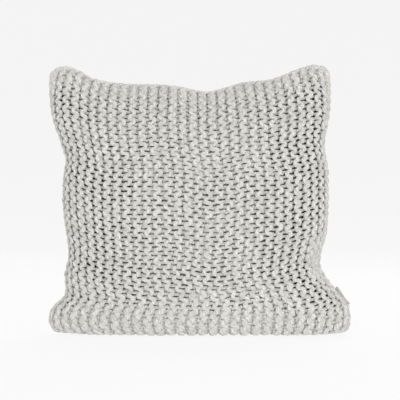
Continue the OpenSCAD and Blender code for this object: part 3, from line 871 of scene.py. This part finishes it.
section = label_section()
lengths = np.linspace(-LABEL_LONG / 2, LABEL_LONG / 2, 35)
side_label = double_skin("side_label_ribbon", label_skin(section, lengths, 1),
                         label_skin(section, lengths, -1), section @ ahead)
sewn_at = 2.4 * ahead - 1.15 * aside
first = np.array([(*sewn_at, spot - LABEL_STITCH / 2) for spot in LABEL_STITCHES])
last = first + np.array([0, 0, LABEL_STITCH])
out_way = label_place(first - np.array([*aside, 0])) - label_place(first)
label_thread = stitches("label_stitching_thread", label_place(first), label_place(last), out_way, 0.25,
                        0.34, "label_stitching")
thread_pieces.append(label_thread)
as_sheet(side_label, "side_label", "label")


def care_skin(inset):
    """One face of the care label, as a grid that hangs inside the back."""
    uu, zz = np.meshgrid(np.linspace(*CARE_U, 25), np.linspace(*CARE_Z, 41), indexing="ij")
    height = (zz - base_at(uu, inset)) / (top_at(uu, inset) - base_at(uu, inset))
    sheet = form_point(uu, height, np.ones_like(uu), 1, inset)
    sheet[..., 1] += 0.25 * np.sin(zz / 5.0)
    return sheet


care = [care_skin(inset) for inset in CARE_SKINS]
care_label = double_skin("care_label_ribbon", *care, LABEL_WIDE)
as_sheet(care_label, "care_label", "label")
label_pieces = [side_label, care_label]


# -------- materials
class Paint:
    """A Principled material with short ways to add nodes to it."""

    def __init__(self, name, rough, **constants):
        self.mat = bpy.data.materials.new(name)
        self.mat.use_nodes = True
        self.tree = self.mat.node_tree
        self.shader = self.tree.nodes["Principled BSDF"]
        self.shader.inputs["Roughness"].default_value = rough
        for key, value in constants.items():
            self.shader.inputs[key.replace("_", " ")].default_value = value

    def put(self, socket, value):
        """Links a node's output to a socket, or sets a plain value on it."""
        if isinstance(value, bpy.types.NodeSocket):
            self.tree.links.new(value, socket)
        else:
            socket.default_value = value

    def node(self, kind, inputs=(), **settings):
        made = self.tree.nodes.new(kind)
        for key, value in settings.items():
            setattr(made, key, value)
        for key, value in dict(inputs).items():
            self.put(made.inputs[key], value)
        return made

    def place(self, scale=(1, 1, 1), turn=(0, 0, 0)):
        """Object coordinates in metres, scaled and turned."""
        coords = self.node("ShaderNodeTexCoord").outputs["Object"]
        inputs = {"Vector": coords, "Scale": scale, "Rotation": turn}
        return self.node("ShaderNodeMapping", inputs).outputs["Vector"]

    def noise(self, scale, detail=3.0, rough=0.6, where=None):
        inputs = {"Scale": scale, "Detail": detail, "Roughness": rough,
                  "Vector": self.place() if where is None else where}
        return self.node("ShaderNodeTexNoise", inputs).outputs["Fac"]

    def wave(self, scale, where):
        inputs = {"Scale": scale, "Vector": where}
        return self.node("ShaderNodeTexWave", inputs, bands_direction="X").outputs["Fac"]

    def attribute(self, name, output="Fac"):
        return self.node("ShaderNodeAttribute", attribute_name=name).outputs[output]

    def remap(self, value, low, high, to_low=0.0, to_high=1.0):
        inputs = {"Value": value, "From Min": low, "From Max": high, "To Min": to_low, "To Max": to_high}
        return self.node("ShaderNodeMapRange", inputs, interpolation_type="SMOOTHSTEP").outputs["Result"]

    def blend(self, factor, first, second):
        """A colour between two, each of them three numbers or a node's output."""
        made = self.node("ShaderNodeMix", data_type="RGBA")
        sockets = {socket.identifier: socket for socket in [*made.inputs, *made.outputs]}
        for key, value in (("Factor_Float", factor), ("A_Color", first), ("B_Color", second)):
            self.put(sockets[key], (*value, 1) if isinstance(value, tuple) else value)
        return sockets["Result_Color"]

    def fade(self, value, first, second, low=0.35, high=0.65):
        """The first colour where a value is below low, and the second above high."""
        return self.blend(self.remap(value, low, high), first, second)

    def colour(self, value):
        self.put(self.shader.inputs["Base Color"], value)

    def rough(self, value):
        self.put(self.shader.inputs["Roughness"], value)

    def bump(self, height, distance, strength, under=None):
        inputs = {"Height": height, "Distance": distance, "Strength": strength}
        if under is not None:
            inputs["Normal"] = under
        made = self.node("ShaderNodeBump", inputs).outputs["Normal"]
        self.put(self.shader.inputs["Normal"], made)
        return made

    def onto(self, objects):
        for obj in objects:
            obj.data.materials.clear()
            obj.data.materials.append(self.mat)


def darker(colour, share):
    return tuple(share * part for part in colour)


def make_yarn():
    """Heathered yarn: fibre streaks that follow its twist, with painted shade where it lies deep in the
    fabric and in the grooves between its plies.
    """
    paint = Paint("soft_grey_yarn", 0.92, Sheen_Weight=0.25, Sheen_Roughness=0.5, Specular_IOR_Level=0.25)
    ply, height = paint.attribute("yarn_ply"), paint.attribute("yarn_shade_height")
    fibre_way = paint.node("ShaderNodeMapping", {
        "Vector": paint.attribute("yarn_place", "Vector"), "Scale": (1, 1, 0.22)}).outputs["Vector"]
    patch = paint.noise(9.0, 2.0)
    heather = paint.noise(0.36, 5.0, 0.8, fibre_way)
    strand = paint.noise(3.2, 3.0, 0.7, fibre_way)
    fuzz = paint.noise(1500.0, 3.0, 0.7)
    light = paint.fade(patch, (0.79, 0.78, 0.75), (0.83, 0.82, 0.79))
    light = paint.fade(heather, (0.40, 0.39, 0.365), light, 0.42, 0.56)
    light = paint.fade(strand, (0.60, 0.59, 0.56), light, 0.36, 0.56)
    # painted shade in the grooves between the plies
    light = paint.fade(ply, (0.58, 0.57, 0.54), light, -1.0, 0.1)
    # painted shade: the yarn darkens to near black where it lies deep in the fabric or in a groove between
    # closed ribs
    paint.colour(paint.fade(height, (0.07, 0.067, 0.062), light, -3.6, -1.2))
    twist = paint.bump(ply, 0.0004, 0.6)
    fibre = paint.bump(strand, 0.0005, 0.8, twist)
    paint.bump(fuzz, 0.00025, 0.6, fibre)
    return paint


def make_cloth(name, colour, dark, thread, rough=0.9, turn=0.0):
    """Plain woven cloth: two crossed sets of threads, thread metres apart."""
    paint = Paint(name, rough, Sheen_Weight=0.15, Specular_IOR_Level=0.25)
    scale = math.pi / (10 * thread) * 2
    warp = paint.wave(scale, paint.place(turn=(0, 0, turn)))
    weft = paint.wave(scale, paint.place(turn=(0, math.radians(90), turn)))
    weave = paint.node("ShaderNodeMath", {0: warp, 1: weft}, operation="MAXIMUM").outputs[0]
    slub = paint.noise(600.0, 3.0)
    tone = paint.fade(paint.noise(30.0, 2.0), colour, darker(colour, 0.9))
    tone = paint.fade(slub, tone, darker(colour, 0.85), 0.4, 0.6)
    paint.colour(paint.fade(weave, dark, tone, 0.3, 0.8))
    paint.bump(slub, 0.00025, 0.4, paint.bump(weave, 0.00025, 0.8))
    return paint


def make_label():
    """Woven tape with painted shade on its sewn end, where it tucks into the seam."""
    paint = make_cloth("label_twill", (0.56, 0.55, 0.52), (0.40, 0.39, 0.37), 0.0009, turn=math.radians(35))
    woven = paint.shader.inputs["Base Color"].links[0].from_socket
    # painted shade: the sewn end is near black up to 4.4 mm from the seam, fading out by 6 mm
    seam_shade_mask = paint.remap(paint.attribute("label_reach"), 4.4, 6.0)
    paint.colour(paint.blend(seam_shade_mask, (0.24, 0.235, 0.225), woven))
    return paint


def make_metal():
    """Nickel plate with fine scratches, duller where it is worn."""
    paint = Paint("nickel", 0.32, Metallic=1.0)
    scratch = paint.noise(900.0, 4.0, 0.7, paint.place((1, 1, 8)))
    worn = paint.noise(260.0, 3.0)
    paint.colour(paint.fade(worn, (0.50, 0.49, 0.47), (0.66, 0.65, 0.62)))
    paint.rough(paint.remap(scratch, 0.3, 0.7, 0.24, 0.48))
    paint.bump(scratch, 0.00006, 0.5)
    return paint


def make_thread():
    colour = (0.52, 0.51, 0.485)
    paint = Paint("sewing_thread", 0.6, Sheen_Weight=0.2)
    fibre = paint.noise(3500.0, 3.0)
    paint.colour(paint.fade(fibre, colour, darker(colour, 0.75)))
    paint.bump(fibre, 0.00008, 0.6)
    return paint


def make_wadding():
    """Loose fibre in clumps."""
    paint = Paint("polyester_wadding", 0.95, Sheen_Weight=0.4)
    fibre = paint.noise(240.0, 6.0, 0.75)
    clump = paint.noise(40.0, 3.0)
    paint.colour(paint.fade(clump, (0.72, 0.72, 0.71), (0.84, 0.84, 0.83)))
    paint.bump(fibre, 0.0012, 0.8, paint.bump(clump, 0.003, 0.6))
    return paint


make_yarn().onto(yarn_pieces)
make_cloth("grey_lining", (0.085, 0.085, 0.09), (0.05, 0.05, 0.055), 0.0011).onto(lining_pieces)
make_cloth("cotton_casing", (0.66, 0.65, 0.61), (0.5, 0.49, 0.45), 0.0010).onto([pad_case, piping])
make_wadding().onto([filling])
make_cloth("zip_tape_weave", (0.52, 0.51, 0.49), (0.34, 0.33, 0.315), 0.0010, 0.8).onto(tape_pieces)
make_metal().onto(metal_pieces)
make_thread().onto(thread_pieces)
make_label().onto(label_pieces)

# -------- stage
# A pale floor that curves up into a backdrop, which lies behind the camera of every view
SWEEP_HALF, SWEEP_FRONT, SWEEP_BACK, SWEEP_HIGH = 10000.0, -10000.0, 3600.0, 10000.0
SWEEP_RADIUS = 2400.0
FLOOR_UNDER = 0.7  # the floor lies this far below the base, clear of its lowest yarn
bend = [(SWEEP_BACK + SWEEP_RADIUS * math.sin(a), SWEEP_RADIUS * (1 - math.cos(a)))
        for a in np.linspace(0, math.pi / 2, 17)]
profile = [(SWEEP_FRONT, 0.0)] + bend + [(SWEEP_BACK + SWEEP_RADIUS, SWEEP_HIGH)]
floor = new_mesh("studio_sweep",
                 [(x, y, z - FLOOR_UNDER) for y, z in profile for x in (-SWEEP_HALF, SWEEP_HALF)],
                 [(2 * i, 2 * i + 1, 2 * i + 3, 2 * i + 2) for i in range(len(profile) - 1)])
paper = Paint("studio_paper", 0.95, Emission_Color=(1, 1, 1, 1), Emission_Strength=0.862)
paper.colour(paper.blend(paper.noise(0.7, 2.0), (0.035, 0.035, 0.035), (0.039, 0.039, 0.039)))
paper.onto([floor])


def area_light(name, where, aim, size, power):
    lamp = bpy.data.lights.new(name, "AREA")
    lamp.shape, lamp.size, lamp.energy = "SQUARE", size, power
    obj = add_object(name, lamp)
    obj.location = where
    obj.rotation_euler = (Vector(aim) - Vector(where)).to_track_quat("-Z", "Y").to_euler()


world = bpy.data.worlds.new("studio")
world.use_nodes = True
sky = world.node_tree.nodes["Background"].inputs
sky["Color"].default_value, sky["Strength"].default_value = (1, 1, 1, 1), 0.74
bpy.context.scene.world = world
area_light("key", (-1.1, -2.6, 1.5), (0, 0, 0.2), 1.5, 14)
area_light("low_fill", (0.9, -2.5, 0.08), (0.05, 0, 0.13), 0.7, 36)
area_light("back_fill", (0.6, 2.0, 1.8), (0, 0, 0.2), 1.5, 20)
bpy.context.scene.view_settings.view_transform = "Standard"

# -------- camera
CAMERA_DISTANCE, FRAME_WIDTH = 2.8, 0.640
CAMERA_X, CAMERA_Z = 0.0018, 0.215
cam = bpy.data.cameras.new("camera")
cam.lens = cam.sensor_width * CAMERA_DISTANCE / FRAME_WIDTH
camera = add_object("camera", cam)
camera.location = (CAMERA_X, -CAMERA_DISTANCE, CAMERA_Z)
camera.rotation_euler = (math.radians(90), 0, 0)
bpy.context.scene.camera = camera
